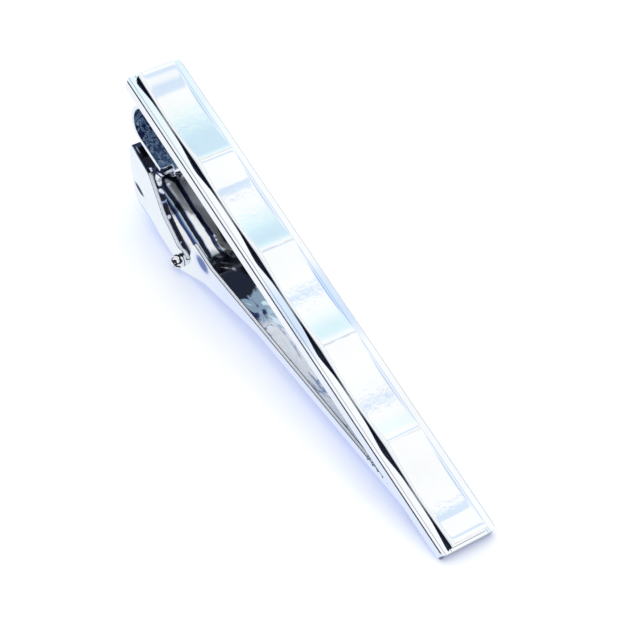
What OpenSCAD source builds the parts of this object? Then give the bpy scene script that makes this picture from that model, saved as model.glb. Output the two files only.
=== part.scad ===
// Tie clip: a front bar with a wavy panel, a C-bent hinge bracket, a wire bail and a folded jaw lever.
// It lies on its back, as it does on a table: on the lever's two ears and on the bar's tip.
// Outlines are drawn in the bar's own directions: x from the thumb end, z up from the bar's back.

/* [Front bar] */
// Length of the bar
bar_l = 58; // [50:0.5:64]
// Width of the bar
bar_w = 6.6; // [6.2:0.1:7.5]
// Thickness of the bar at its rails
base_t = 1.05; // [0.95:0.05:1.5]
// Radius of the bar's four corners, seen from the front
corner_r = 0.5; // [0.3:0.05:0.8]
// Width of the bevel along the rails' outer edges
rail_bevel = 0.12; // [0.1:0.02:0.3]

/* [Wavy panel] */
// Width of the panel
panel_w = 4.1; // [3.6:0.1:4.4]
// Depth of the pocket that the panel sits in
pocket_d = 0.35; // [0.2:0.05:0.5]
// Height of the wave's troughs above the rails
trough_h = 0.3; // [0.25:0.05:0.5]
// Rise of the wave from trough to crest
wave_h = 0.7; // [0.5:0.05:0.8]
// Number of waves along the panel
wave_count = 5; // [3:1:7]
// Length over which each crest is rounded
crest_l = 0.8; // [0.4:0.1:1.2]
// Width of the bevel round the panel's top
panel_bevel = 0.18; // [0.1:0.02:0.24]
// Distance from each end of the bar to the panel
panel_inset = 0.3; // [0.2:0.05:0.8]
// Gap round the panel in its pocket
panel_fit = 0.02; // [0.01:0.01:0.05]

/* [Hinge bracket] */
// Thickness of the sheet that the bracket and the lever are made of
sheet_t = 0.45; // [0.4:0.01:0.5]
// Width of the bracket
leaf_w = 5.2; // [4.6:0.1:5.4]
// Distance from the bar's thumb end to the outside of the C-bend
bend_x = 1.6; // [1.4:0.1:2]
// Depth of the bracket below the bar's back
leaf_drop = 4.95; // [4.6:0.05:5.4]
// Where the soldered leaf ends
solder_end_x = 10.5; // [9.5:0.1:12]
// Where the full width of the free leaf ends
leaf_end_x = 8; // [7.6:0.1:8.2]
// Width of the hooked tongue
tongue_w = 2.4; // [2:0.1:2.8]
// Thickness of the solder under the bracket
solder_t = 0.12; // [0.08:0.01:0.2]
// How far the solder spreads past the bracket
solder_spread = 0.3; // [0.2:0.05:0.5]

/* [Wire bail] */
// Diameter of the wire
wire_d = 0.75; // [0.65:0.05:0.8]
// Gap round the wire in the hook and in the ears
wire_fit = 0.05; // [0.03:0.01:0.08]
// Distance between the two legs at the ears, middle to middle
leg_span = 4.85; // [4.6:0.05:5]
// How much closer together the legs are at the hook
leg_taper = 0.05; // [0:0.05:0.4]
// Where the ears' pivot lies along the bar
pivot_x = 15.65; // [15.3:0.05:16]
// Depth of the pivot below the bar's back
pivot_drop = 10.25; // [10:0.05:10.5]
// Length of the short drop beside the hook
crank_drop = 1.25; // [1.2:0.05:1.4]
// Where the legs' knees lie along the bar
knee_x = 10.6; // [10.3:0.1:11]
// How far the knees stand above the pivot
knee_rise = 1.45; // [1.25:0.05:1.65]
// Bend radius at the hook's end, on the wire's middle line
bend_r = 0.6; // [0.5:0.05:0.65]
// Radius of the knees' soft bend, on the wire's middle line
knee_r = 1; // [0.8:0.1:1.2]
// Bend radius beside the ears, on the wire's middle line
foot_r = 0.4; // [0.38:0.01:0.44]
// How much the peening swells the feet, on the radius
foot_swell = 0.01; // [0.01:0.005:0.02]
// Diameter of the peened heads
head_d = 1.5; // [1.3:0.05:1.6]
// How far a head's middle stands off the ear
head_stand = 0.25; // [0.2:0.05:0.4]

/* [Jaw lever] */
// Where the lever's thumb end lies along the bar
thumb_x = 3.6; // [3.4:0.1:4]
// Width of the lever at its thumb end
thumb_w = 6; // [5.6:0.1:6.4]
// Where the jaw ends along the bar
jaw_end_x = 52; // [48:0.5:54]
// Width of the jaw at its end
jaw_tip_w = 5.6; // [5:0.1:6]
// Gap between the bracket and the lever's high walls below it
thumb_gap = 1.1; // [1.05:0.05:1.2]
// Length of the side walls' high edge at the thumb end
high_wall_l = 3.8; // [3.5:0.1:3.9]
// Height of the lever's thumb end
nose_h = 0.75; // [0.6:0.05:1]
// Length of the curved thumb pad
pad_l = 3.2; // [3:0.1:3.6]
// Depth of the pad's end below the bar's back
pad_drop = 11; // [10.8:0.05:11.1]
// Where the low side walls' edge has its knee along the bar
wall_knee_x = 11; // [10.8:0.1:11.4]
// Depth of that knee below the bar's back
wall_knee_drop = 8.3; // [8.1:0.05:8.5]
// Depth of the low walls' edge beside the ears
low_wall_drop = 9.3; // [9.1:0.05:9.4]
// How far behind the pivot the jaw's flanges start
flange_lead = 0.55; // [0.4:0.05:0.9]
// Depth of the jaw's flange edge at the jaw's root
flange_drop = 6.1; // [5.9:0.05:6.3]
// Height of the flanges at the jaw's root
flange_h = 2.7; // [2.5:0.05:2.9]
// Where the flanges' steep taper ends along the bar
taper_end_x = 28; // [26:0.5:32]
// Height of the flanges where the steep taper ends
flange_mid_h = 0.95; // [0.85:0.05:1.2]
// Radius of the soft bend where the steep taper ends
taper_r = 12; // [8:1:16]
// Height of the flanges at the jaw's end
flange_tip_h = 0.75; // [0.7:0.05:1]
// Where the jaw starts to slope towards the bar
slope_x = 19.6; // [19:0.1:20]
// Gap between the closed jaw and the bar's back
bite_gap = 0.05; // [0.03:0.01:0.1]
// Radius of the ears' round lower ends
ear_r = 1.25; // [1.2:0.05:1.35]
// Gap between the wire's feet and the lever's floor
foot_gap = 0.15; // [0.12:0.01:0.2]
// Number of teeth along each flange at the jaw's end
tooth_count = 8; // [4:1:12]
// Pitch of the teeth
tooth_pitch = 0.8; // [0.7:0.05:1]
// Depth of the teeth
tooth_d = 0.22; // [0.15:0.01:0.3]

/* [Hidden] */
$fn = 48;
// One overrun serves all cuts
over = 1;
// Steps of the outlines' round corners and of the wave
corner_steps = 6;
wave_steps = 16;
ring_sides = 12;
chrome = [0.82, 0.85, 0.88];
dull = [0.62, 0.66, 0.72];

// The panel in its pocket
panel_floor = base_t - pocket_d;
panel_l = bar_l - 2 * panel_inset;

// The C-bend and the hook
leaf_bend_r = (leaf_drop - solder_t) / 2;
leaf_bend_x = bend_x + leaf_bend_r;
leaf_bend_z = -solder_t - leaf_bend_r;
hook_in_r = wire_d / 2 + wire_fit;
hook_out_r = hook_in_r + sheet_t;
hook_x = leaf_end_x;
hook_z = -leaf_drop - hook_in_r;
// The hook runs from the leaf round the far side of the wire, to this angle
hook_end_angle = 255;

// The lever's ears and walls
ear_in = leg_span / 2 + wire_d / 2 + wire_fit;
ear_out = ear_in + sheet_t;
leg_top_span = leg_span - leg_taper;
lever_w = 2 * ear_out;
pivot_z = -pivot_drop;
high_z = -leaf_drop - thumb_gap;
floor_z = pivot_z - wire_d / 2 - foot_gap - sheet_t;
high_end_x = thumb_x + high_wall_l;
pad_end_x = thumb_x + pad_l;
root_floor_z = -flange_drop - flange_h;
flange_x = pivot_x + flange_lead;

// The clip's angle on a table, touching it with the ears and the bar's tip
rest_run = bar_l - pivot_x;
rest_angle = atan2(pivot_drop, rest_run) + asin(ear_r / norm([pivot_drop, rest_run]));
rest_rise = bar_l * sin(rest_angle);
rest_middle = (bar_l * cos(rest_angle) + base_t * sin(rest_angle)) / 2;

// Places a piece, drawn in the bar's own directions, as the clip lies on a table
module resting() {
    translate([-rest_middle, 0, rest_rise]) rotate([0, rest_angle, 0]) children();
}

// Draws a side outline (x, z) across the width
module across(width) {
    rotate([90, 0, 0]) linear_extrude(height = width, center = true) children();
}

function unit(v) = v / norm(v);

// The points of an arc of radius r that rounds the corner b between a and c, in the plane or in space
function corner(a, b, c, r) =
    let (
        u = unit(a - b),
        v = unit(c - b),
        half = acos(max(-1, min(1, u * v))) / 2,
        middle = b + unit(u + v) * r / sin(half),
        from = b + u * r / tan(half) - middle,
        to = b + v * r / tan(half) - middle,
        turn = 180 - 2 * half
    )
    [for (i = [0:corner_steps])
        middle + (from * sin(turn * (1 - i / corner_steps)) + to * sin(turn * i / corner_steps)) / sin(turn)];

// An open line of points with its inner corners rounded, each by its own radius
function rounded_line(points, radii) = [
    points[0],
    for (i = [1:len(points) - 2])
        each (radii[i] > 0 ? corner(points[i - 1], points[i], points[i + 1], radii[i]) : [points[i]]),
    points[len(points) - 1]
];

module front_bar() {
    pocket_w = panel_w + 2 * panel_fit;
    pocket_l = panel_l + 2 * panel_fit;
    bevel_side = rail_bevel * sqrt(2);
    color(chrome) resting() difference() {
        linear_extrude(height = base_t) union() {
            translate([0, corner_r - bar_w / 2]) square([bar_l, bar_w - 2 * corner_r]);
            translate([corner_r, -bar_w / 2]) square([bar_l - 2 * corner_r, bar_w]);
            for (x = [corner_r, bar_l - corner_r], side = [-1, 1])
                translate([x, side * (bar_w / 2 - corner_r)]) circle(r = corner_r);
        }
        translate([panel_inset - panel_fit, -pocket_w / 2, panel_floor])
            cube([pocket_l, pocket_w, pocket_d + over]);
        for (side = [-1, 1])
            translate([bar_l / 2, side * bar_w / 2, base_t]) rotate([45, 0, 0])
                cube([bar_l + over, bevel_side, bevel_side], center = true);
    }
}

// The wavy top: hollow scallops that meet in rounded crests, with a crest at each end of the panel
function panel_top(x) =
    let (
        along = wave_count * x / panel_l,
        crest = crest_l / (panel_l / wave_count / 2),
        from_crest = norm([1 - abs(2 * (along - floor(along)) - 1), crest])
    )
    base_t + trough_h + wave_h * pow((1 - from_crest) / (1 - crest), 2);

// One cross-section of the panel, its top lowered by drop
function panel_ring(x, drop) =
    let (half = panel_w / 2, top = panel_top(x) - drop)
    [for (p = [
        [-half, panel_floor], [half, panel_floor], [half, top - panel_bevel],
        [half - panel_bevel, top], [panel_bevel - half, top], [-half, top - panel_bevel]
    ]) [panel_inset + x, p[0], p[1]]];

// Skin between equal rings of points, closed at both ends
module skin(rings) {
    n = len(rings[0]);
    last = (len(rings) - 1) * n;
    polyhedron(
        points = [for (r = rings) each r],
        faces = [
            [for (k = [0:n - 1]) k],
            [for (k = [n - 1:-1:0]) last + k],
            for (i = [0:len(rings) - 2], k = [0:n - 1])
                let (a = i * n + k, b = i * n + (k + 1) % n)
                each [[a, a + n, b], [b, a + n, b + n]]
        ]
    );
}

module wave_panel() {
    steps = wave_count * wave_steps;
    rings = [
        panel_ring(0, panel_bevel),
        for (i = [1:steps - 1]) panel_ring(panel_l * i / steps, 0),
        panel_ring(panel_l, panel_bevel)
    ];
    color(chrome) resting() skin(rings);
}

module solder_seam() {
    from_x = leaf_bend_x - solder_spread;
    spread_w = leaf_w + 2 * solder_spread;
    color(dull) resting() translate([from_x, -spread_w / 2, -solder_t])
        cube([solder_end_x + solder_spread - from_x, spread_w, solder_t]);
}

// The bracket's two leaves and the C-bend between them, from the side
module leaves_outline() {
    inner_r = leaf_bend_r - sheet_t;
    translate([leaf_bend_x, -solder_t - sheet_t]) square([solder_end_x - leaf_bend_x, sheet_t]);
    translate([leaf_bend_x, -leaf_drop]) square([leaf_end_x - leaf_bend_x, sheet_t]);
    difference() {
        translate([leaf_bend_x, leaf_bend_z]) circle(r = leaf_bend_r);
        translate([leaf_bend_x, leaf_bend_z]) circle(r = inner_r);
        translate([leaf_bend_x, -leaf_drop - over]) square([leaf_bend_r + over, leaf_drop + 2 * over]);
    }
}

// The tongue and its hook round the wire, from the side
module hook_outline() {
    reach = 2 * hook_out_r;
    translate([leaf_end_x - sheet_t, -leaf_drop]) square([sheet_t, sheet_t]);
    translate([hook_x, hook_z]) difference() {
        circle(r = hook_out_r);
        circle(r = hook_in_r);
        polygon([[0, 0], for (a = [90:(hook_end_angle - 90) / corner_steps:hook_end_angle])
            reach * [cos(a), sin(a)]]);
    }
}

module hinge_bracket() {
    color(dull) resting() union() {
        across(leaf_w) leaves_outline();
        across(tongue_w) hook_outline();
    }
}

// The wire's middle line on one side: foot, drop and hook, in x, y and z
knee = [knee_x, leg_span / 2, pivot_z + knee_rise];
side_line = [
    [pivot_x, ear_out + wire_fit, pivot_z],
    [pivot_x, leg_span / 2, pivot_z],
    knee,
    [hook_x, leg_top_span / 2, hook_z - crank_drop],
    [hook_x, leg_top_span / 2, hook_z]
];
wire_line = rounded_line(
    concat(side_line, [for (i = [len(side_line) - 1:-1:0]) [side_line[i].x, -side_line[i].y, side_line[i].z]]),
    [0, foot_r, knee_r, bend_r, bend_r, bend_r, bend_r, knee_r, foot_r, 0]
);
leg_up = unit(cross([pivot_x, 0, pivot_z] - [knee.x, 0, knee.z], [0, 1, 0]));

// One ring of the wire round point i of its line
function wire_ring(i) =
    let (
        last = len(wire_line) - 1,
        along = unit(wire_line[min(last, i + 1)] - wire_line[max(0, i - 1)]),
        side = unit(cross(along, leg_up)),
        up = cross(along, side)
    )
    [for (k = [0:ring_sides - 1])
        wire_line[i] + wire_d / 2 * (cos(360 * k / ring_sides) * side + sin(360 * k / ring_sides) * up)];

module wire_bail() {
    foot_y = leg_span / 2 + foot_r;
    head_y = ear_out + wire_fit + head_stand;
    color(chrome) resting() union() {
        skin([for (i = [0:len(wire_line) - 1]) wire_ring(i)]);
        for (side = [-1, 1]) translate([pivot_x, 0, pivot_z]) rotate([-90 * side, 0, 0]) {
            translate([0, 0, foot_y]) cylinder(d = wire_d + 2 * foot_swell, h = head_y - foot_y);
            difference() {
                translate([0, 0, head_y]) sphere(d = head_d);
                translate([-head_d, -head_d, head_y - head_stand - 2 * head_d])
                    cube([2 * head_d, 2 * head_d, 2 * head_d]);
            }
        }
    }
}

// The lever's underside from the thumb end to the jaw's end; lift raises it by the sheet's thickness.
// The thumb pad's curve is written in shares of the pad's length and depth.
pad_shares = [[0.3, 0.4], [0.62, 0.66]];
nose_z = high_z - nose_h;
mid_edge_z = -bite_gap - (flange_drop - bite_gap) * (jaw_end_x - taper_end_x) / (jaw_end_x - slope_x);
function underside(lift) =
    let (points = [
        [thumb_x, nose_z],
        for (s = pad_shares) [thumb_x + s[0] * pad_l, nose_z - s[1] * (pad_drop + nose_z)],
        [pad_end_x, -pad_drop],
        [pivot_x - ear_r, floor_z + foot_gap],
        [pivot_x - wire_d, floor_z],
        [pivot_x + wire_d, floor_z],
        [slope_x, root_floor_z],
        [taper_end_x, mid_edge_z - flange_mid_h],
        [jaw_end_x, -bite_gap - flange_tip_h]
    ])
    [for (p = rounded_line(points, [0, ear_r, ear_r, ear_r, ear_r, wire_d, wire_d, ear_r, taper_r, 0]))
        p + [0, lift]];

// The edge of the lever's side walls, from the jaw's end back to the thumb end
function wall_edge() =
    let (points = [
        [jaw_end_x, -bite_gap],
        [slope_x, -flange_drop],
        [flange_x, -flange_drop],
        [flange_x + sheet_t, pivot_z + ear_r],
        [pivot_x - ear_r, -low_wall_drop],
        [wall_knee_x, -wall_knee_drop],
        [high_end_x, high_z],
        [thumb_x, high_z]
    ])
    rounded_line(points, [0, ear_r, sheet_t, sheet_t, sheet_t, ear_r, sheet_t, 0]);

// The lever seen from above, narrowed towards the jaw's end and by wall on each side
module lever_plan(wall) {
    half = lever_w / 2 - wall;
    thumb_half = thumb_w / 2 - wall;
    tip_half = jaw_tip_w / 2 - wall;
    from_x = thumb_x - over;
    end_x = jaw_end_x + over;
    translate([0, 0, floor_z - 2 * ear_r]) linear_extrude(height = -floor_z + 4 * ear_r) polygon([
        [from_x, -thumb_half], [high_end_x, -half], [slope_x, -half], [end_x, -tip_half],
        [end_x, tip_half], [slope_x, half], [high_end_x, half], [from_x, thumb_half]
    ]);
}

// The hollow of the lever: open to the bar's side, with the floor left in
module lever_hollow() {
    floor_line = underside(sheet_t);
    count = len(floor_line);
    top_z = over;
    inner = concat(
        [for (i = [1:count - 2]) floor_line[i]],
        [[jaw_end_x + over, floor_line[count - 1].y], [jaw_end_x + over, top_z], [thumb_x + sheet_t, top_z],
         [thumb_x + sheet_t, floor_line[0].y]]
    );
    across(lever_w) polygon(inner);
}

// The notches between the teeth along the flanges' edge, from the side
module teeth_outline() {
    edge_angle = atan2(flange_drop - bite_gap, jaw_end_x - slope_x);
    translate([jaw_end_x, -bite_gap]) rotate(edge_angle) for (i = [1:tooth_count])
        translate([-tooth_pitch * i, 0]) polygon([[-2 * tooth_d, tooth_d], [0, -tooth_d], [2 * tooth_d, tooth_d]]);
}

module jaw_lever() {
    color(chrome) resting() difference() {
        union() {
            intersection() {
                across(lever_w) polygon(concat(underside(0), wall_edge()));
                lever_plan(0);
            }
            for (side = [-1, 1]) translate([pivot_x, side * (ear_out + ear_in) / 2, pivot_z])
                rotate([90, 0, 0]) cylinder(r = ear_r, h = sheet_t, center = true);
        }
        intersection() {
            lever_hollow();
            lever_plan(sheet_t);
        }
        translate([pivot_x, 0, pivot_z]) rotate([90, 0, 0])
            cylinder(r = wire_d / 2 + wire_fit, h = lever_w + over, center = true);
        across(lever_w + over) teeth_outline();
    }
}

front_bar();
wave_panel();
solder_seam();
hinge_bracket();
wire_bail();
jaw_lever();
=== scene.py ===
import math

import bmesh
import bpy
from mathutils import Matrix, Vector


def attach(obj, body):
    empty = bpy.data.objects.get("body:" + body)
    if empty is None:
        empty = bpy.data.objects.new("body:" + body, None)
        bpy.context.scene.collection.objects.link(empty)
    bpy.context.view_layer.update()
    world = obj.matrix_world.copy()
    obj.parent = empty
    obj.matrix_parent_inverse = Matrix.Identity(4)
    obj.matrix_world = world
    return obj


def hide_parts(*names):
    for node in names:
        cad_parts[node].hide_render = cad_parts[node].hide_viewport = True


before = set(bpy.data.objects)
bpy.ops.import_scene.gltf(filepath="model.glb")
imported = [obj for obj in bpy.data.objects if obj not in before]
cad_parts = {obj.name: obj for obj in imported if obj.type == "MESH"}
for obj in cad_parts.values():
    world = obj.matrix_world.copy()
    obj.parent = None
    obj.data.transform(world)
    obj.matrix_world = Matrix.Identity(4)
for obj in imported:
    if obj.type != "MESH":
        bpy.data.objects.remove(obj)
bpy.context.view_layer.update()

scene = bpy.context.scene

# Sizes from part.scad, in mm, in the bar's own directions:
# X runs from the thumb end to the tip, Y across the bar, and Z up from the bar's back
BAR_L, BASE_T = 58.0, 1.05
PANEL_W, PANEL_INSET, POCKET_D = 4.1, 0.3, 0.35
TROUGH_H, WAVE_H, WAVES, CREST_L = 0.3, 0.7, 5, 0.8
PIVOT = Vector((15.65, 0, -10.25))
HOOK = Vector((8.0, 0, -5.375))
WIRE_BEND = Vector((10.6, 0, -8.8))
BEND_MIDDLE = Vector((4.015, 0, -2.535))
EAR_R, EAR_OUT = 1.25, 3.3
WIRE_D, HEAD_D = 0.75, 1.5
LEG_SPAN, HOOK_SPAN, HOOK_LEG = 4.85, 4.8, 1.25

# How the clip lies on the table: on its tip and on the lever's ears
ALONG, DROP = BAR_L - PIVOT.x, -PIVOT.z
ANGLE = math.atan2(DROP, ALONG) + math.asin(EAR_R / math.hypot(DROP, ALONG))
RISE = BAR_L * math.sin(ANGLE)
MIDDLE = (BAR_L * math.cos(ANGLE) + BASE_T * math.sin(ANGLE)) / 2
# From the bar's own directions, in mm, to the row's frame, in metres, and back
REST = Matrix.Scale(0.001, 4) @ Matrix.Translation((-MIDDLE, 0, RISE)) @ Matrix.Rotation(ANGLE, 4, "Y")
TO_BAR = REST.inverted()
TURN = REST.to_3x3().normalized()
TURN_BACK = TURN.inverted()
UP = (REST.to_3x3() @ Vector((0, 0, 1))).normalized()


# The camera, fitted to the bar's corners in the photo
cam_data = bpy.data.cameras.new("camera")
cam = bpy.data.objects.new("camera", cam_data)
scene.collection.objects.link(cam)
scene.camera = cam
cam_data.sensor_width = 36
cam_data.lens = 134.22
cam_data.clip_start = 0.01
cam.matrix_world = Matrix((
    (0.582638, -0.635903, 0.506123, 0.1194),
    (0.803917, 0.359454, -0.473826, -0.109236),
    (0.11938, 0.682949, 0.720645, 0.173863),
    (0, 0, 0, 1)))


# Node helpers: a value may be a number, a colour of three parts, or another node's output
def feed(nt, socket, value):
    if isinstance(value, bpy.types.NodeSocket):
        nt.links.new(value, socket)
    elif socket.type == "RGBA":
        socket.default_value = (*value, 1)
    else:
        socket.default_value = value


def add(nt, kind, **values):
    n = nt.nodes.new(kind)
    for k, v in values.items():
        if k in n.inputs:
            feed(nt, n.inputs[k], v)
        else:
            setattr(n, k, v)
    return n


def material(name):
    m = bpy.data.materials.new(name)
    m.use_nodes = True
    return m, m.node_tree, m.node_tree.nodes["Principled BSDF"]


def place(nt):
    return add(nt, "ShaderNodeTexCoord").outputs["Object"]


def part(nt, vector, axis):
    return add(nt, "ShaderNodeSeparateXYZ", Vector=vector).outputs[axis]


def noise(nt, vector, **values):
    return add(nt, "ShaderNodeTexNoise", Vector=vector, **values).outputs["Fac"]


def spread(nt, value, low, high, to_low=0.0, to_high=1.0):
    return add(nt, "ShaderNodeMapRange", **{"Value": value, "From Min": low, "From Max": high,
                                            "To Min": to_low, "To Max": to_high}).outputs[0]


def maths(nt, operation, *values):
    n = add(nt, "ShaderNodeMath", operation=operation)
    for socket, value in zip(n.inputs, values):
        feed(nt, socket, value)
    return n.outputs[0]


def dot(nt, vector, other):
    n = add(nt, "ShaderNodeVectorMath", operation="DOT_PRODUCT")
    feed(nt, n.inputs[0], vector)
    feed(nt, n.inputs[1], tuple(other))
    return n.outputs["Value"]


def mixed(nt, share, a, b, how="MIX"):
    n = add(nt, "ShaderNodeMixRGB", blend_type=how)
    for socket, value in zip(n.inputs, (share, a, b)):
        feed(nt, socket, value)
    return n.outputs[0]


def ramp(nt, value, stops):
    n = add(nt, "ShaderNodeValToRGB")
    while len(n.color_ramp.elements) < len(stops):
        n.color_ramp.elements.new(0.5)
    for e, (at, colour) in zip(n.color_ramp.elements, stops):
        e.position = at
        e.color = (*colour, 1)
    feed(nt, n.inputs[0], value)
    return n.outputs[0]


def bump(nt, height, strength, distance, under=None):
    n = add(nt, "ShaderNodeBump", Height=height, Strength=strength, Distance=distance)
    if under:
        feed(nt, n.inputs["Normal"], under)
    return n.outputs[0]


def grey(level):
    return (level, level, level)


# Materials
def painted_ovals(nt, co, colour, marks, near_only):
    """Oval marks of painted reflection and painted shade.

    marks: the middle and the half sizes of each, in mm, in the bar's X and Z, and its tint.
    """
    if near_only:
        near_side = spread(nt, part(nt, co, "Y"), 0.0, -0.001)
    for mid_x, mid_z, half_x, half_z, tint in marks:
        mid = REST @ Vector((mid_x, 0, mid_z))
        squares = []
        for axis, half in ((Vector((1, 0, 0)), half_x), (Vector((0, 0, 1)), half_z)):
            measure = (TURN @ axis) / (half / 1000)
            away = maths(nt, "ADD", dot(nt, co, measure), -mid.dot(measure))
            squares.append(maths(nt, "MULTIPLY", away, away))
        within = spread(nt, maths(nt, "ADD", *squares), 1.4, 0.5)
        if near_only:
            within = maths(nt, "MULTIPLY", within, near_side)
        colour = mixed(nt, within, colour, tint)
    return colour


def wave_phase(nt, co):
    """Where along a wave a point lies: 0 and 1 at its crests, 0.5 in its trough."""
    ahead = TURN @ Vector((1, 0, 0))
    pitch = (BAR_L - 2 * PANEL_INSET) / WAVES / 1000
    start = (REST @ Vector((PANEL_INSET, 0, 0))).dot(ahead)
    return maths(nt, "FRACT", maths(nt, "MULTIPLY_ADD", dot(nt, co, ahead), 1 / pitch, -start / pitch))


def dark_crest_lines(nt, co, phase, colour):
    """A thin, broken, darker grey line along each crest."""
    crest_line = ramp(nt, phase, [
        (0.0, grey(1)), (0.001, grey(1)), (0.0015, grey(0.6)), (0.004, grey(0.7)), (0.009, grey(1)),
        (0.992, grey(1)), (0.9975, grey(0.6)), (0.9985, grey(0.6)), (0.999, grey(1)), (1.0, grey(1))])
    broken = spread(nt, noise(nt, co, Scale=900, Detail=4), 0.4, 0.6)
    return mixed(nt, broken, colour, crest_line, "MULTIPLY")


def rough_hollows(nt, co, phase, normal):
    """The far end of each hollow is less well polished: its mirror image breaks up there."""
    zone = ramp(nt, phase, [(0.0, grey(0)), (0.3, grey(0)), (0.42, grey(1)), (0.66, grey(1)), (0.78, grey(0)),
                            (1.0, grey(0))])
    cast = noise(nt, co, Scale=1500, Detail=3, Roughness=0.6, Distortion=0.6)
    return bump(nt, maths(nt, "MULTIPLY", zone, cast), 0.35, 0.00008, normal)


def chrome(name, tint, rough, grain=0.0, pits=None, metal=1.0, waves=False, lines=None, far=None, marks=(),
           near_only=True):
    """Plated metal: its roughness has wipe marks and smudges, and its surface a faint orange peel.

    pits: strength and scale of casting pits. lines: thin darker lines along the piece, as a ramp across it, on its
    Y. far: from and to X, in metres, and the tint beyond, a painted reflection. marks: oval marks of painted
    reflection and painted shade, as the oval helper above takes them.
    """
    m, nt, bsdf = material(name)
    co = place(nt)
    smudge = noise(nt, co, Scale=160, Detail=6, Roughness=0.6)
    drawn_out = add(nt, "ShaderNodeMapping", Vector=co, Scale=(90, 1100, 900)).outputs[0]
    wipe = noise(nt, drawn_out, Scale=1, Detail=3, Roughness=0.7)
    rubbed = maths(nt, "MULTIPLY", smudge, wipe)
    colour = ramp(nt, smudge, [(0.3, tint), (0.72, tuple(c * 0.93 for c in tint))])
    if far:
        from_x, to_x, painted_far_tint = far
        colour = mixed(nt, spread(nt, part(nt, co, "X"), from_x, to_x), colour, painted_far_tint)
    if marks:
        colour = painted_ovals(nt, co, colour, marks, near_only)
    if lines:
        across = spread(nt, part(nt, co, "Y"), -0.0033, 0.0033)
        colour = mixed(nt, 1.0, colour, ramp(nt, across, lines), "MULTIPLY")
    normal = bump(nt, noise(nt, co, Scale=420, Detail=2), 0.05 + grain, 0.00005)
    if waves:
        phase = wave_phase(nt, co)
        colour = dark_crest_lines(nt, co, phase, colour)
        normal = rough_hollows(nt, co, phase, normal)
    if pits:
        strength, scale = pits
        cells = add(nt, "ShaderNodeTexVoronoi", Vector=co, Scale=scale, feature="SMOOTH_F1").outputs["Distance"]
        normal = bump(nt, cells, strength, 0.00012, normal)
    feed(nt, bsdf.inputs["Base Color"], colour)
    feed(nt, bsdf.inputs["Metallic"], metal)
    feed(nt, bsdf.inputs["Roughness"], spread(nt, rubbed, 0.1, 0.45, rough, rough * 2.2 + 0.02))
    feed(nt, bsdf.inputs["Normal"], normal)
    return m


def painted_light_patches(name, stops, scale, rough, stretch=(1, 1, 1), along=(), relief=0.25, detail=4, contrast=(0.3, 0.7),
            metal=1.0, gleam=0.5):
    """Metal with patches of several colours: painted reflections and painted shade, broken-up mirror images as in a
    rough recess, painted in its colour.

    along: zones further along the piece, each with its from and to X, in metres, its ramp, and whether that ramp is
    for patches or for long streaks beside each other, across the piece on its Y.
    """
    m, nt, bsdf = material(name)
    co = place(nt)
    stretched = add(nt, "ShaderNodeMapping", Vector=co, Scale=stretch).outputs[0]
    patches = noise(nt, stretched, Scale=scale, Detail=detail, Roughness=0.55, Distortion=1.2)
    clear = spread(nt, patches, *contrast)
    colour = ramp(nt, clear, stops)
    # the patches also make the borders of the zones and streaks waver
    for from_x, to_x, more, kind in along:
        waver_x = maths(nt, "MULTIPLY_ADD", patches, 0.006, part(nt, co, "X"))
        beyond = spread(nt, waver_x, from_x + 0.003, to_x + 0.003)
        read_by = clear
        if kind == "streaks":
            waver_y = maths(nt, "MULTIPLY_ADD", patches, 0.0005, part(nt, co, "Y"))
            read_by = spread(nt, waver_y, -0.00275, 0.00325)
        colour = mixed(nt, beyond, colour, ramp(nt, read_by, more))
    feed(nt, bsdf.inputs["Base Color"], colour)
    feed(nt, bsdf.inputs["Metallic"], metal)
    feed(nt, bsdf.inputs["Specular IOR Level"], gleam)
    feed(nt, bsdf.inputs["Roughness"], spread(nt, patches, 0.0, 1.0, rough, rough * 2))
    feed(nt, bsdf.inputs["Normal"], bump(nt, patches, relief, 0.00008))
    return m


BLACK, INK, NAVY = (0.008, 0.01, 0.025), (0.012, 0.02, 0.075), (0.03, 0.05, 0.17)
TEAL, STEEL, SKY = (0.13, 0.23, 0.38), (0.2, 0.3, 0.52), (0.42, 0.56, 0.7)
GREY, LILAC, PALE, WHITE = (0.36, 0.42, 0.5), (0.66, 0.66, 0.86), (0.62, 0.74, 0.86), (0.95, 0.97, 0.99)

# thin grey and blue-grey lines along the bar's rails: how much of the colour they leave
FULL, MOST, HALF = (1, 1, 1), (0.62, 0.74, 0.92), (0.42, 0.45, 0.5)
RAIL_LINES = [
    (0.0, FULL), (0.052, FULL), (0.056, HALF), (0.064, HALF), (0.068, FULL),
    (0.16, FULL), (0.166, HALF), (0.174, HALF), (0.18, FULL),
    (0.82, FULL), (0.826, MOST), (0.85, MOST), (0.856, FULL),
    (0.868, FULL), (0.872, MOST), (0.884, MOST), (0.89, FULL)]
M_BAR = chrome("bar_chrome", (0.94, 0.965, 0.995), 0.02, lines=RAIL_LINES)
# the bar's sides: the chrome with a painted pale blue reflection towards the tip, and a painted dark shade at the
# foot of the tip's end
M_SIDE = chrome("bar_side", (0.95, 0.97, 1.0), 0.03, far=(0.0, 0.02, (0.76, 0.84, 0.99)),
                marks=[(58.1, 0.15, 0.35, 0.75, (0.06, 0.09, 0.2))], near_only=False)
M_BACK = chrome("bar_back_cast", (0.92, 0.95, 1.0), 0.12, grain=0.3, pits=(0.9, 2600), metal=0.6)
# painted reflections for rounded edges and borders: near black, and a paler grey
M_EDGE = chrome("edge_painted_dark_reflection", (0.03, 0.04, 0.08), 0.1)
M_EDGE_PALE = chrome("edge_painted_grey_reflection", (0.5, 0.56, 0.64), 0.1)
M_RIM = chrome("cut_edge", (0.97, 0.98, 1.0), 0.35, metal=0.35)
M_PANEL = chrome("panel_chrome", (0.96, 0.98, 0.99), 0.02, waves=True)
M_SOLDER = chrome("solder", (0.62, 0.66, 0.72), 0.2, grain=0.6, pits=(0.3, 1800))
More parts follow.
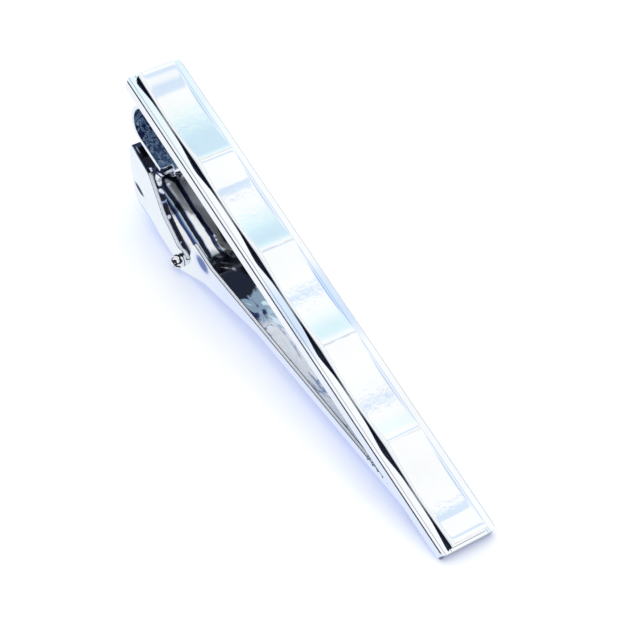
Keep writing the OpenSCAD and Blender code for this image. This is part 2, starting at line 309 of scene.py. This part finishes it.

# the lever's outside, turning a painted pale lavender reflection towards the jaw, with a painted dark slit-like
# reflection on the thumb end, a painted blue reflected streak under it, and the painted shade of a hollow, with a
# lavender rim, beside the near ear
M_SHEET = chrome(
    "sheet_chrome", (0.89, 0.94, 1.0), 0.035, grain=0.06, far=(-0.014, -0.008, (0.74, 0.81, 0.99)),
    marks=[
        (6.95, -9.45, 0.95, 0.27, INK),
        (9.3, -10.9, 2.0, 0.16, (0.55, 0.7, 1.0)),
        (18.4, -7.0, 1.5, 0.95, (0.72, 0.76, 0.97)),
        (18.4, -6.9, 1.1, 0.6, (0.12, 0.19, 0.42))])

# the heads: white with black spots of painted reflection
M_HEAD = painted_light_patches("head_painted_reflection_spots", [(0.0, WHITE), (0.56, WHITE), (0.6, BLACK), (1.0, BLACK)], 1500, 0.04, relief=0.05,
                 detail=0, metal=0.5)
# the wire: a painted dark reflection along its legs, painted pale highlights round its closed end
M_WIRE = painted_light_patches(
    "wire_painted_reflection", [(0.0, BLACK), (0.7, BLACK), (0.8, NAVY), (0.9, STEEL), (1.0, WHITE)], 700, 0.1,
    metal=0.5, gleam=0.3, detail=0,
    along=[(-0.0218, -0.0225, [(0.0, WHITE), (0.4, WHITE), (0.5, LILAC), (0.56, INK), (0.62, INK), (0.7, LILAC),
                               (1.0, WHITE)], "patches")])
# the inside of the bracket's bend: a painted reflection of the bar's rough back, in shade, dark blue with pale blue
# flecks, lighter towards the leaf's free end
M_LEAF = painted_light_patches(
    "leaf_painted_reflection", [(0.0, INK), (0.42, INK), (0.5, TEAL), (0.56, INK), (0.64, TEAL), (0.76, SKY), (0.84, TEAL),
                     (1.0, INK)], 1700, 0.25,
    relief=0.5, metal=0.3, gleam=0.15, detail=2, contrast=(0.34, 0.66),
    along=[(-0.0265, -0.0215, [(0.0, TEAL), (0.25, TEAL), (0.4, INK), (0.5, TEAL), (0.65, SKY), (0.8, TEAL),
                               (1.0, TEAL)], "patches")])
# the lever's channel, in painted shade and reflections: black shade under the leaf, reflected streaks between the
# wire's legs, black shade with white glints at the jaw's root, then paler reflections to the tip
REFLECTION_STREAKS = [
    (0.0, WHITE), (0.1, WHITE), (0.23, NAVY), (0.275, WHITE), (0.345, WHITE), (0.36, NAVY), (0.40, NAVY),
    (0.42, STEEL), (0.455, PALE), (0.462, BLACK), (0.54, BLACK), (0.55, STEEL), (0.575, WHITE), (0.69, WHITE),
    (0.7, NAVY), (0.71, BLACK), (0.77, NAVY), (0.785, WHITE), (1.0, WHITE)]
M_INSIDE = painted_light_patches(
    "channel_painted_reflection_and_shade", [(0.0, BLACK), (0.8, BLACK), (0.9, NAVY), (1.0, STEEL)], 420, 0.09,
    stretch=(0.35, 1, 1), relief=0.12, metal=0.68, gleam=0.3,
    along=[
        (-0.0248, -0.0243, REFLECTION_STREAKS, "streaks"),
        (-0.0155, -0.0143, [(0.0, BLACK), (0.2, BLACK), (0.26, WHITE), (0.32, WHITE), (0.38, BLACK), (0.7, BLACK),
                            (0.8, GREY), (0.86, BLACK), (1.0, BLACK)], "patches"),
        (-0.0125, -0.0115, [(0.0, BLACK), (1.0, BLACK)], "patches"),
        (-0.0078, -0.0073, [(0.0, BLACK), (0.25, NAVY), (0.35, GREY), (0.6, GREY), (0.66, WHITE), (1.0, WHITE)],
         "patches"),
        (-0.005, -0.003, [(0.0, WHITE), (0.3, WHITE), (0.38, STEEL), (0.42, WHITE), (0.7, WHITE), (0.78, PALE),
                          (0.84, STEEL), (0.9, WHITE), (1.0, WHITE)], "patches")])

# the panel's walls carry a painted reflection: of the rail at their foot, which is dark, and of the paper above it
M_WALL, nt, bsdf = material("panel_wall_painted_reflection")
wall_share = add(nt, "ShaderNodeAttribute", attribute_name="share").outputs["Fac"]
feed(nt, bsdf.inputs["Base Color"], ramp(nt, wall_share, [
    (0.0, BLACK), (0.36, BLACK), (0.4, WHITE), (0.56, WHITE),
    (0.6, GREY), (0.64, GREY), (0.68, WHITE), (1.0, WHITE)]))
feed(nt, bsdf.inputs["Metallic"], 1.0)
feed(nt, bsdf.inputs["Roughness"], 0.04)


# Mesh helpers
def linked(name, me):
    o = bpy.data.objects.new(name, me)
    scene.collection.objects.link(o)
    return o


def mesh_from(name, bm):
    me = bpy.data.meshes.new(name)
    bm.to_mesh(me)
    bm.free()
    return me


def new_piece(name, bm, mats, body, smooth):
    me = mesh_from(name, bm)
    for m in mats:
        me.materials.append(m)
    me.shade_smooth()
    me.set_sharp_from_angle(angle=math.radians(smooth))
    o = linked(name, me)
    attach(o, body)
    return o


def dressed(node, name, width, mats, body, pick=None, rim_pick=None):
    """A copy of a CAD node's shape with every sharp edge rounded, as tumbled and plated sheet has.

    pick and rim_pick give the material's index for a face of the shape and for one of its rounded edges.
    """
    bm = bmesh.new()
    bm.from_mesh(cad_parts[node].data)
    bmesh.ops.remove_doubles(bm, verts=bm.verts, dist=2e-6)
    bmesh.ops.dissolve_limit(bm, angle_limit=math.radians(0.6), verts=bm.verts, edges=bm.edges)
    me = mesh_from(name, bm)
    me.shade_smooth()
    o = linked(name, me)
    # the rounded edges get a slot of their own while they are made, so that rim_pick can tell them from the rest
    edge = 1 if rim_pick else 0
    me.materials.clear()
    for _ in range(edge + 1):
        me.materials.append(None)
    round_off = o.modifiers.new("edges", "BEVEL")
    round_off.width = width / 1000
    round_off.segments = 3
    round_off.limit_method = "ANGLE"
    round_off.angle_limit = math.radians(28)
    round_off.use_clamp_overlap = True
    round_off.harden_normals = False
    round_off.material = edge
    flat = o.modifiers.new("normals", "WEIGHTED_NORMAL")
    flat.weight = 100
    flat.keep_sharp = True
    done = bpy.data.meshes.new_from_object(o.evaluated_get(bpy.context.evaluated_depsgraph_get()))
    o.modifiers.clear()
    o.data = done
    on_edge = [rim_pick is not None and p.material_index == edge for p in done.polygons]
    done.materials.clear()
    for m in mats:
        done.materials.append(m)
    for p, rim in zip(done.polygons, on_edge):
        p.material_index = rim_pick(p) if rim else pick(p) if pick else 0
    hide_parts(node)
    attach(o, body)
    return o


def skin(bm, rings):
    """Faces between rings of corners and over both ends. Gives each side face with its place round the ring."""
    faces = []
    for a, b in zip(rings, rings[1:]):
        for k in range(len(a)):
            m = (k + 1) % len(a)
            faces.append((k, bm.faces.new((a[k], b[k], b[m], a[m]))))
    bm.faces.new(rings[0])
    bm.faces.new(rings[-1][::-1])
    return faces


# The bar
TOP, BACK, DARK, SIDE = range(4)
TIP_X = 0.0275


def bar_face(p):
    """Slanted faces, which are the bevels, are painted dark as a reflection."""
    rise = p.normal.dot(UP)
    if rise < -0.9:
        return BACK
    if abs(rise) < 0.2:
        return SIDE
    return TOP if rise > 0.9 else DARK


def bar_rim(p):
    """The lower edge at the tip is painted dark as shade, and the others are as the face above or beside them."""
    rise = p.normal.dot(UP)
    if rise > 0.5:
        return TOP
    return DARK if rise < -0.1 and p.center.x > TIP_X else SIDE


dressed("front_bar", "bar_base", 0.07, [M_BAR, M_BACK, M_EDGE, M_SIDE], "bar", bar_face, bar_rim)


# The wavy panel
def wave(x):
    """The panel's height above the bar's back: five cusped arcs."""
    half = (BAR_L - 2 * PANEL_INSET) / WAVES / 2
    t = abs((x - PANEL_INSET + half) % (2 * half) - half)
    crest = CREST_L / half
    return BASE_T + TROUGH_H + WAVE_H * ((1 - math.hypot(t / half, crest)) / (1 - crest)) ** 2


def panel_mesh():
    """The panel; each wall corner keeps its share of the local wall height, for the wall's painted reflection."""
    bm = bmesh.new()
    share = bm.verts.layers.float.new("share")
    length = BAR_L - 2 * PANEL_INSET
    half, r = PANEL_W / 2, 0.19
    steps, roll_steps, flat_steps = 480, 6, 16
    floor_z = BASE_T - POCKET_D + 0.01
    rings = []
    for i in range(steps + 1):
        x = PANEL_INSET + length * i / steps
        # the top edge rolls down over the panel's ends as it does over its sides
        to_end = min(x - PANEL_INSET, PANEL_INSET + length - x)
        roll = r - math.sqrt(max(0, r * r - (r - to_end) ** 2)) if to_end < r else 0
        top = wave(x) - roll
        section = [(-half, floor_z), (-half, top - r)]
        for k in range(1, roll_steps + 1):
            a = math.radians(90 * k / roll_steps)
            section.append((-half + r - r * math.cos(a), top - r + r * math.sin(a)))
        for k in range(1, flat_steps):
            section.append((-half + r + (PANEL_W - 2 * r) * k / flat_steps, top))
        for k in range(roll_steps):
            a = math.radians(90 * (1 - k / roll_steps))
            section.append((half - r + r * math.cos(a), top - r + r * math.sin(a)))
        section += [(half, top - r), (half, floor_z)]
        ring = [bm.verts.new(REST @ Vector((x, y, z))) for y, z in section]
        for v, (y, z) in zip(ring, section):
            v[share] = (z - BASE_T) / (top - r - BASE_T)
        rings.append(ring)
    for k, f in skin(bm, rings):
        # the walls, and the lower part of the rounded edge above each, take the wall's painted reflection
        f.material_index = 1 if k < 4 or k >= len(rings[0]) - 5 else 0
    bmesh.ops.recalc_face_normals(bm, faces=bm.faces)
    return bm


panel = new_piece("wavy_panel", panel_mesh(), [M_PANEL, M_WALL], "bar", smooth=40)
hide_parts("wave_panel")


# The solder, the bracket and the lever
OUTSIDE, INSIDE, DARK, CUT, LIGHT = range(5)
# Where the thumb end's cut edges end, where the side walls stop being plain mirrors and take the channel's painted
# reflections, and the jaw's painted dark edges
THUMB_X, EARS_X, JAW_X = 7, 13, (18, 43)


def in_bar(p):
    """A face's middle, in mm, and its normal, in the bar's own directions."""
    return TO_BAR @ p.center, TURN_BACK @ p.normal


def bracket_face(p):
    """The inside is what looks into the C-bend: its inner face, the leaf's top and the soldered end's back. It
    takes the painted reflection.
    """
    c, n = in_bar(p)
    if abs(n.y) > 0.7:
        return OUTSIDE
    if c.x < BEND_MIDDLE.x:
        within = math.hypot(c.x - BEND_MIDDLE.x, c.z - BEND_MIDDLE.z) < 2.2
    else:
        within = (n.z > 0.7 and c.z < -4) or (n.z < -0.7 and c.z > -0.7)
    return INSIDE if within else OUTSIDE


def lever_face(p):
    """The inside is what looks into the lever's channel and takes its painted shade and reflections, and the cut
    faces are the sheet's cut edges.
    """
    c, n = in_bar(p)
    if abs(n.y) > 0.7:
        return INSIDE if n.y * c.y < 0 and c.x > EARS_X else OUTSIDE
    if n.z > 0.9 and c.x < 8 and c.z > -6.3:
        return CUT
    if n.z > 0.3 or (n.x > 0.5 and c.x < 8):
        return INSIDE if abs(c.y) < 2.4 else CUT
    return OUTSIDE


def on_jaw(x):
    return JAW_X[0] < x < JAW_X[1]


def lever_rim(p):
    """Painted dark reflection on the edges along the jaw, a paler painted one elsewhere."""
    return DARK if on_jaw(in_bar(p)[0].x) else LIGHT


solder = dressed("solder_seam", "solder_line", 0.05, [M_SOLDER], "bar")
dressed("hinge_bracket", "bracket", 0.09, [M_SHEET, M_LEAF], "bar", bracket_face)
lever = dressed("jaw_lever", "lever", 0.1, [M_SHEET, M_INSIDE, M_EDGE, M_RIM, M_EDGE_PALE], "lever", lever_face,
                lever_rim)

# The cut edges get a thin border of painted reflection, dark along the jaw. At the thumb end they are painted dark,
# as shade in the slot under the leaf, but for a pale outer border.
BORDER, OUTER_Y = 0.00008, 2.7
bm = bmesh.new()
bm.from_mesh(lever.data)
cut = [f for f in bm.faces if f.material_index == CUT]
at_thumb = [f for f in cut if (TO_BAR @ f.calc_center_median()).x < THUMB_X]
border = bmesh.ops.inset_region(bm, faces=cut, thickness=BORDER, use_even_offset=True, use_boundary=True)["faces"]
for f in border:
    c = TO_BAR @ f.calc_center_median()
    f.material_index = DARK if on_jaw(c.x) or (c.x < THUMB_X and abs(c.y) < OUTER_Y) else LIGHT
for f in at_thumb:
    f.material_index = DARK
bm.to_mesh(lever.data)
bm.free()


# The wire bail
def arc(a, b, c, r, n=10):
    """Points on the arc of radius r that rounds the corner b between a and c."""
    u, v = (a - b).normalized(), (c - b).normalized()
    half = math.acos(max(-1, min(1, u.dot(v)))) / 2
    mid = b + (u + v).normalized() * (r / math.sin(half))
    start, end = b + u * (r / math.tan(half)) - mid, b + v * (r / math.tan(half)) - mid
    turn = math.pi - 2 * half
    return [mid + (start * math.sin(turn * (1 - i / n)) + end * math.sin(turn * i / n)) / math.sin(turn)
            for i in range(n + 1)]


def wire_line():
    """The wire's middle line, in mm: from one head through its ear, up the leg, across the hook and back."""
    leg, top = LEG_SPAN / 2, HOOK_SPAN / 2
    side = [Vector((PIVOT.x, EAR_OUT + 0.05, PIVOT.z)), Vector((PIVOT.x, leg, PIVOT.z)),
            Vector((WIRE_BEND.x, leg, WIRE_BEND.z)), Vector((HOOK.x, top, HOOK.z - HOOK_LEG)),
            Vector((HOOK.x, top, HOOK.z))]
    line = side + [Vector((p.x, -p.y, p.z)) for p in reversed(side)]
    radii = [0.4, 1, 0.6, 0.6, 0.6, 0.6, 1, 0.4]
    out = [line[0]]
    for a, b, c, r in zip(line, line[1:], line[2:], radii):
        out += arc(a, b, c, r)
    out.append(line[-1])
    return out


def tube(bm, line, r, sides=20):
    """A round rod along a line that stays level with the bail's legs."""
    level = (PIVOT - WIRE_BEND).cross(Vector((0, 1, 0))).normalized()
    angles = [2 * math.pi * k / sides for k in range(sides)]
    rings = []
    for i, p in enumerate(line):
        along = (line[min(len(line) - 1, i + 1)] - line[max(0, i - 1)]).normalized()
        s = along.cross(level).normalized()
        u = along.cross(s)
        rings.append([bm.verts.new(REST @ (p + r * (math.cos(a) * s + math.sin(a) * u))) for a in angles])
    skin(bm, rings)


def head(bm, side):
    """A peened ball: round outside, with a small flat where it was struck, and a flat seat against the ear."""
    r, steps, sides = HEAD_D / 2, 24, 40
    seat = 19.5
    mid_y = EAR_OUT + 0.3
    turns = [2 * math.pi * k / sides for k in range(sides)]
    rings = []
    for i in range(steps + 1):
        a = math.radians(-seat + (90 + seat) * i / steps)
        out, y = max(r * math.cos(a), 1e-4), mid_y + min(r * math.sin(a), r * 0.965)
        ring = [Vector((PIVOT.x + out * math.cos(t), side * y, PIVOT.z + out * math.sin(t))) for t in turns]
        rings.append([bm.verts.new(REST @ v) for v in ring])
    skin(bm, rings)


bm = bmesh.new()
tube(bm, wire_line(), WIRE_D / 2)
head(bm, 1)
head(bm, -1)
bmesh.ops.recalc_face_normals(bm, faces=bm.faces)
bail = new_piece("wire_bail_piece", bm, [M_HEAD, M_WIRE], "bail", smooth=45)
# the wire between the ears gets the painted dark reflection, and the heads and the wire's ends in the ears the
# bright one with painted black spots
for p in bail.data.polygons:
    p.material_index = 1 if abs(p.center.y) < (EAR_OUT - 0.3) / 1000 else 0
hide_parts("wire_bail")


# Floor and light
def sheet(name, size):
    bm = bmesh.new()
    bmesh.ops.create_grid(bm, x_segments=2, y_segments=2, size=size)
    o = linked(name, mesh_from(name, bm))
    return o


floor = sheet("floor", 1.5)
m, nt, bsdf = material("floor_paper")
fibres = noise(nt, place(nt), Scale=40, Detail=3)
paper = ramp(nt, fibres, [(0.2, (0.955, 0.965, 0.99)), (0.8, (0.975, 0.98, 0.99))])
# painted shadow: the paper turns blue-grey where ambient occlusion finds the clip close by, on top of the real
# shadow
shelter = add(nt, "ShaderNodeAmbientOcclusion", Distance=0.0045).outputs["AO"]
painted_shadow_tint = ramp(nt, shelter, [
    (0.3, (0.6, 0.66, 0.93)), (0.7, (0.88, 0.92, 1.0)), (0.9, (0.97, 1.0, 1.0)), (1.0, (1, 1, 1))])
feed(nt, bsdf.inputs["Base Color"], mixed(nt, 1.0, paper, painted_shadow_tint, "MULTIPLY"))
feed(nt, bsdf.inputs["Roughness"], 0.9)
feed(nt, bsdf.inputs["Specular IOR Level"], 0.0)
# the camera sees the paper as white, with the deeper shadow left on it, and the mirrors see white paper
rays = add(nt, "ShaderNodeLightPath").outputs
feed(nt, bsdf.inputs["Emission Color"], (1, 1, 1))
feed(nt, bsdf.inputs["Emission Strength"], maths(nt, "MULTIPLY", rays["Is Camera Ray"], 0.18))
white = add(nt, "ShaderNodeEmission", Color=(0.97, 0.985, 1.0), Strength=1.0)


def either(nt, test, if_not, if_so):
    """One shader where the test is 0, and another where it is 1."""
    n = add(nt, "ShaderNodeMixShader")
    for socket, value in zip(n.inputs, (test, if_not, if_so)):
        nt.links.new(value, socket)
    return n.outputs[0]


feed(nt, nt.nodes["Material Output"].inputs["Surface"],
     either(nt, rays["Is Glossy Ray"], bsdf.outputs[0], white.outputs[0]))
floor.data.materials.append(m)

# The diffuser that hangs over the table, which only mirrors see: white, with a blue-grey seam,
# and turning to pale blue towards the thumb end's side. The waves reflect it one strip at a time.
CLOTH = (1.05, 1.05, 1.05)
diffuser = sheet("diffuser", 0.5)
diffuser.scale = (0.5, 0.14, 1)
diffuser.location = (0.05, 0.08, 0.14)
for seen_by in ("camera", "diffuse", "transmission", "volume_scatter", "shadow"):
    setattr(diffuser, "visible_" + seen_by, False)
m, nt, bsdf = material("diffuser_cloth")
nt.nodes.remove(bsdf)
along_x = part(nt, add(nt, "ShaderNodeNewGeometry").outputs["Position"], "X")
cloth = ramp(nt, spread(nt, along_x, -0.1, 0.1), [
    (0.0, (0.66, 0.85, 0.98)), (0.08, (0.66, 0.85, 0.98)), (0.14, (0.73, 0.92, 1.0)), (0.19, (0.8, 0.98, 1.04)),
    (0.24, (0.89, 1.02, 1.05)), (0.29, (0.98, 1.05, 1.05)), (0.33, CLOTH), (0.412, CLOTH),
    (0.43, (0.76, 0.87, 1.02)), (0.47, (0.72, 0.84, 1.0)), (0.492, CLOTH), (1.0, CLOTH)])
glow = add(nt, "ShaderNodeEmission", Color=cloth, Strength=1.0)
feed(nt, nt.nodes["Material Output"].inputs["Surface"], glow.outputs[0])
diffuser.data.materials.append(m)

# The world: one for mirrors, one that lights the table, and white behind everything
world = bpy.data.worlds.new("studio")
scene.world = world
world.use_nodes = True
nt = world.node_tree
nt.nodes.remove(nt.nodes["Background"])
towards = add(nt, "ShaderNodeTexCoord").outputs["Generated"]
height = part(nt, towards, "Z")
# mirrors see a dark strip of the room above the viewer, and a slightly darker horizon
strip = ramp(nt, spread(nt, part(nt, towards, "Y"), -1.0, 1.0), [
    (0.0, grey(0)), (0.277, grey(0)), (0.293, grey(1)), (0.335, grey(1)), (0.375, grey(0)), (1.0, grey(0))])
room = mixed(nt, maths(nt, "MULTIPLY", strip, spread(nt, height, 0.25, 0.4)), CLOTH, (0.01, 0.015, 0.04))
mirrored = mixed(nt, spread(nt, height, 0.5, 0.3), room, (0.9, 0.94, 1.0))
# light on the table: bluer from the sides than from overhead, and white in sum, so that shadows turn blue
LOW, HIGH = (0.88, 0.96, 1.26), (1.04, 1.013, 0.913)
dome = ramp(nt, height, [(0.0, LOW), (0.45, LOW), (0.55, HIGH), (1.0, HIGH)])
lit, shine, behind = [add(nt, "ShaderNodeBackground", Color=colour, Strength=1.0).outputs[0]
                      for colour in (dome, mirrored, (1, 1, 1))]
rays = add(nt, "ShaderNodeLightPath").outputs
feed(nt, nt.nodes["World Output"].inputs["Surface"],
     either(nt, rays["Is Camera Ray"], either(nt, rays["Is Glossy Ray"], lit, shine), behind))

scene.view_settings.view_transform = "Standard"
